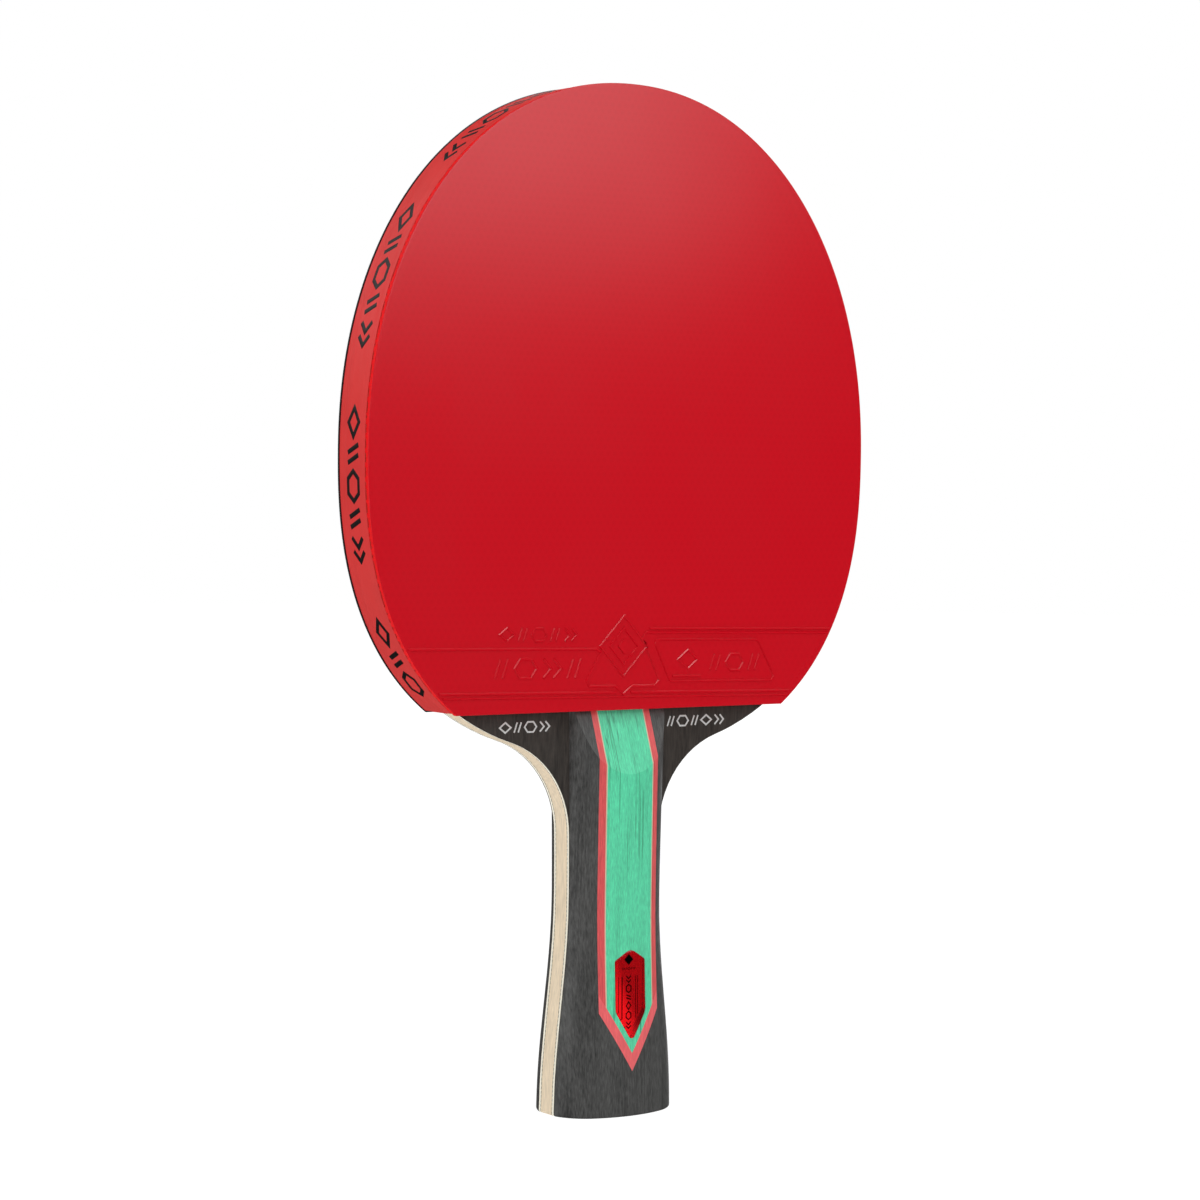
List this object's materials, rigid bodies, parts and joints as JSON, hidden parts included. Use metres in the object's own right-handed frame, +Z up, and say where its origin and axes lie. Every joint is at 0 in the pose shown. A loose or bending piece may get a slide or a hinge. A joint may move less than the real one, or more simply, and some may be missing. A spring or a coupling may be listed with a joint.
{
  "type": "table tennis paddle",
  "caption": "Table tennis paddle: carbon-reinforced wooden blade, red and black rubbers on sponge, edge tape, flared handle with coloured inlays and a small badge.",
  "frame": {"origin": "centre of the flat butt of the handle, in the middle plane of the blade", "axes": "+Z up the paddle from the butt to the tip of the head, +X across its width, +Y out of the black side; the red rubber faces -Y"},
  "size_m": [0.15, 0.026, 0.2585],
  "materials": {
    "core_wood": "bare sanded light wood",
    "carbon_layer": "resin-bound carbon cloth, cut edge",
    "pale_ply": "bare sanded pale wood",
    "black_veneer": "black-stained, thin satin varnish",
    "sponge_foam": "fine-celled foam",
    "red_rubber": "smooth tacky surface, soft sheen",
    "black_rubber": "smooth tacky surface, soft sheen",
    "tape_band": "printed satin tape",
    "black_wood": "black-stained wood with fine grain, matt",
    "green_wood": "green-dyed wood with fine grain, satin",
    "red_wood": "red-dyed wood with fine grain, satin",
    "pale_wood": "thin undyed veneer line",
    "badge_acrylic": "clear red, polished",
    "badge_metal": "bright foil"
  },
  "bodies": {
    "root": {"core_ply": "core_wood", "carbon_ply_front": "carbon_layer", "carbon_ply_back": "carbon_layer", "inner_ply_front": "pale_ply", "inner_ply_back": "pale_ply", "face_veneer_front": "black_veneer", "face_veneer_back": "black_veneer", "sponge_front": "sponge_foam", "sponge_back": "sponge_foam", "topsheet_front": "red_rubber", "topsheet_back": "black_rubber", "edge_tape": "tape_band", "handle_scale_front": "black_wood", "handle_scale_back": "black_wood", "green_inlay_front": "green_wood", "green_inlay_back": "green_wood", "red_strip_front_left": "red_wood", "red_strip_front_right": "red_wood", "red_strip_back_left": "red_wood", "red_strip_back_right": "red_wood", "red_point_front_left": "red_wood", "red_point_front_right": "red_wood", "red_point_back_left": "red_wood", "red_point_back_right": "red_wood", "pale_line_front_left": "pale_wood", "pale_line_front_right": "pale_wood", "pale_line_back_left": "pale_wood", "pale_line_back_right": "pale_wood", "badge_lens": "badge_acrylic", "badge_foil": "badge_metal"}
  },
  "joints": []
}
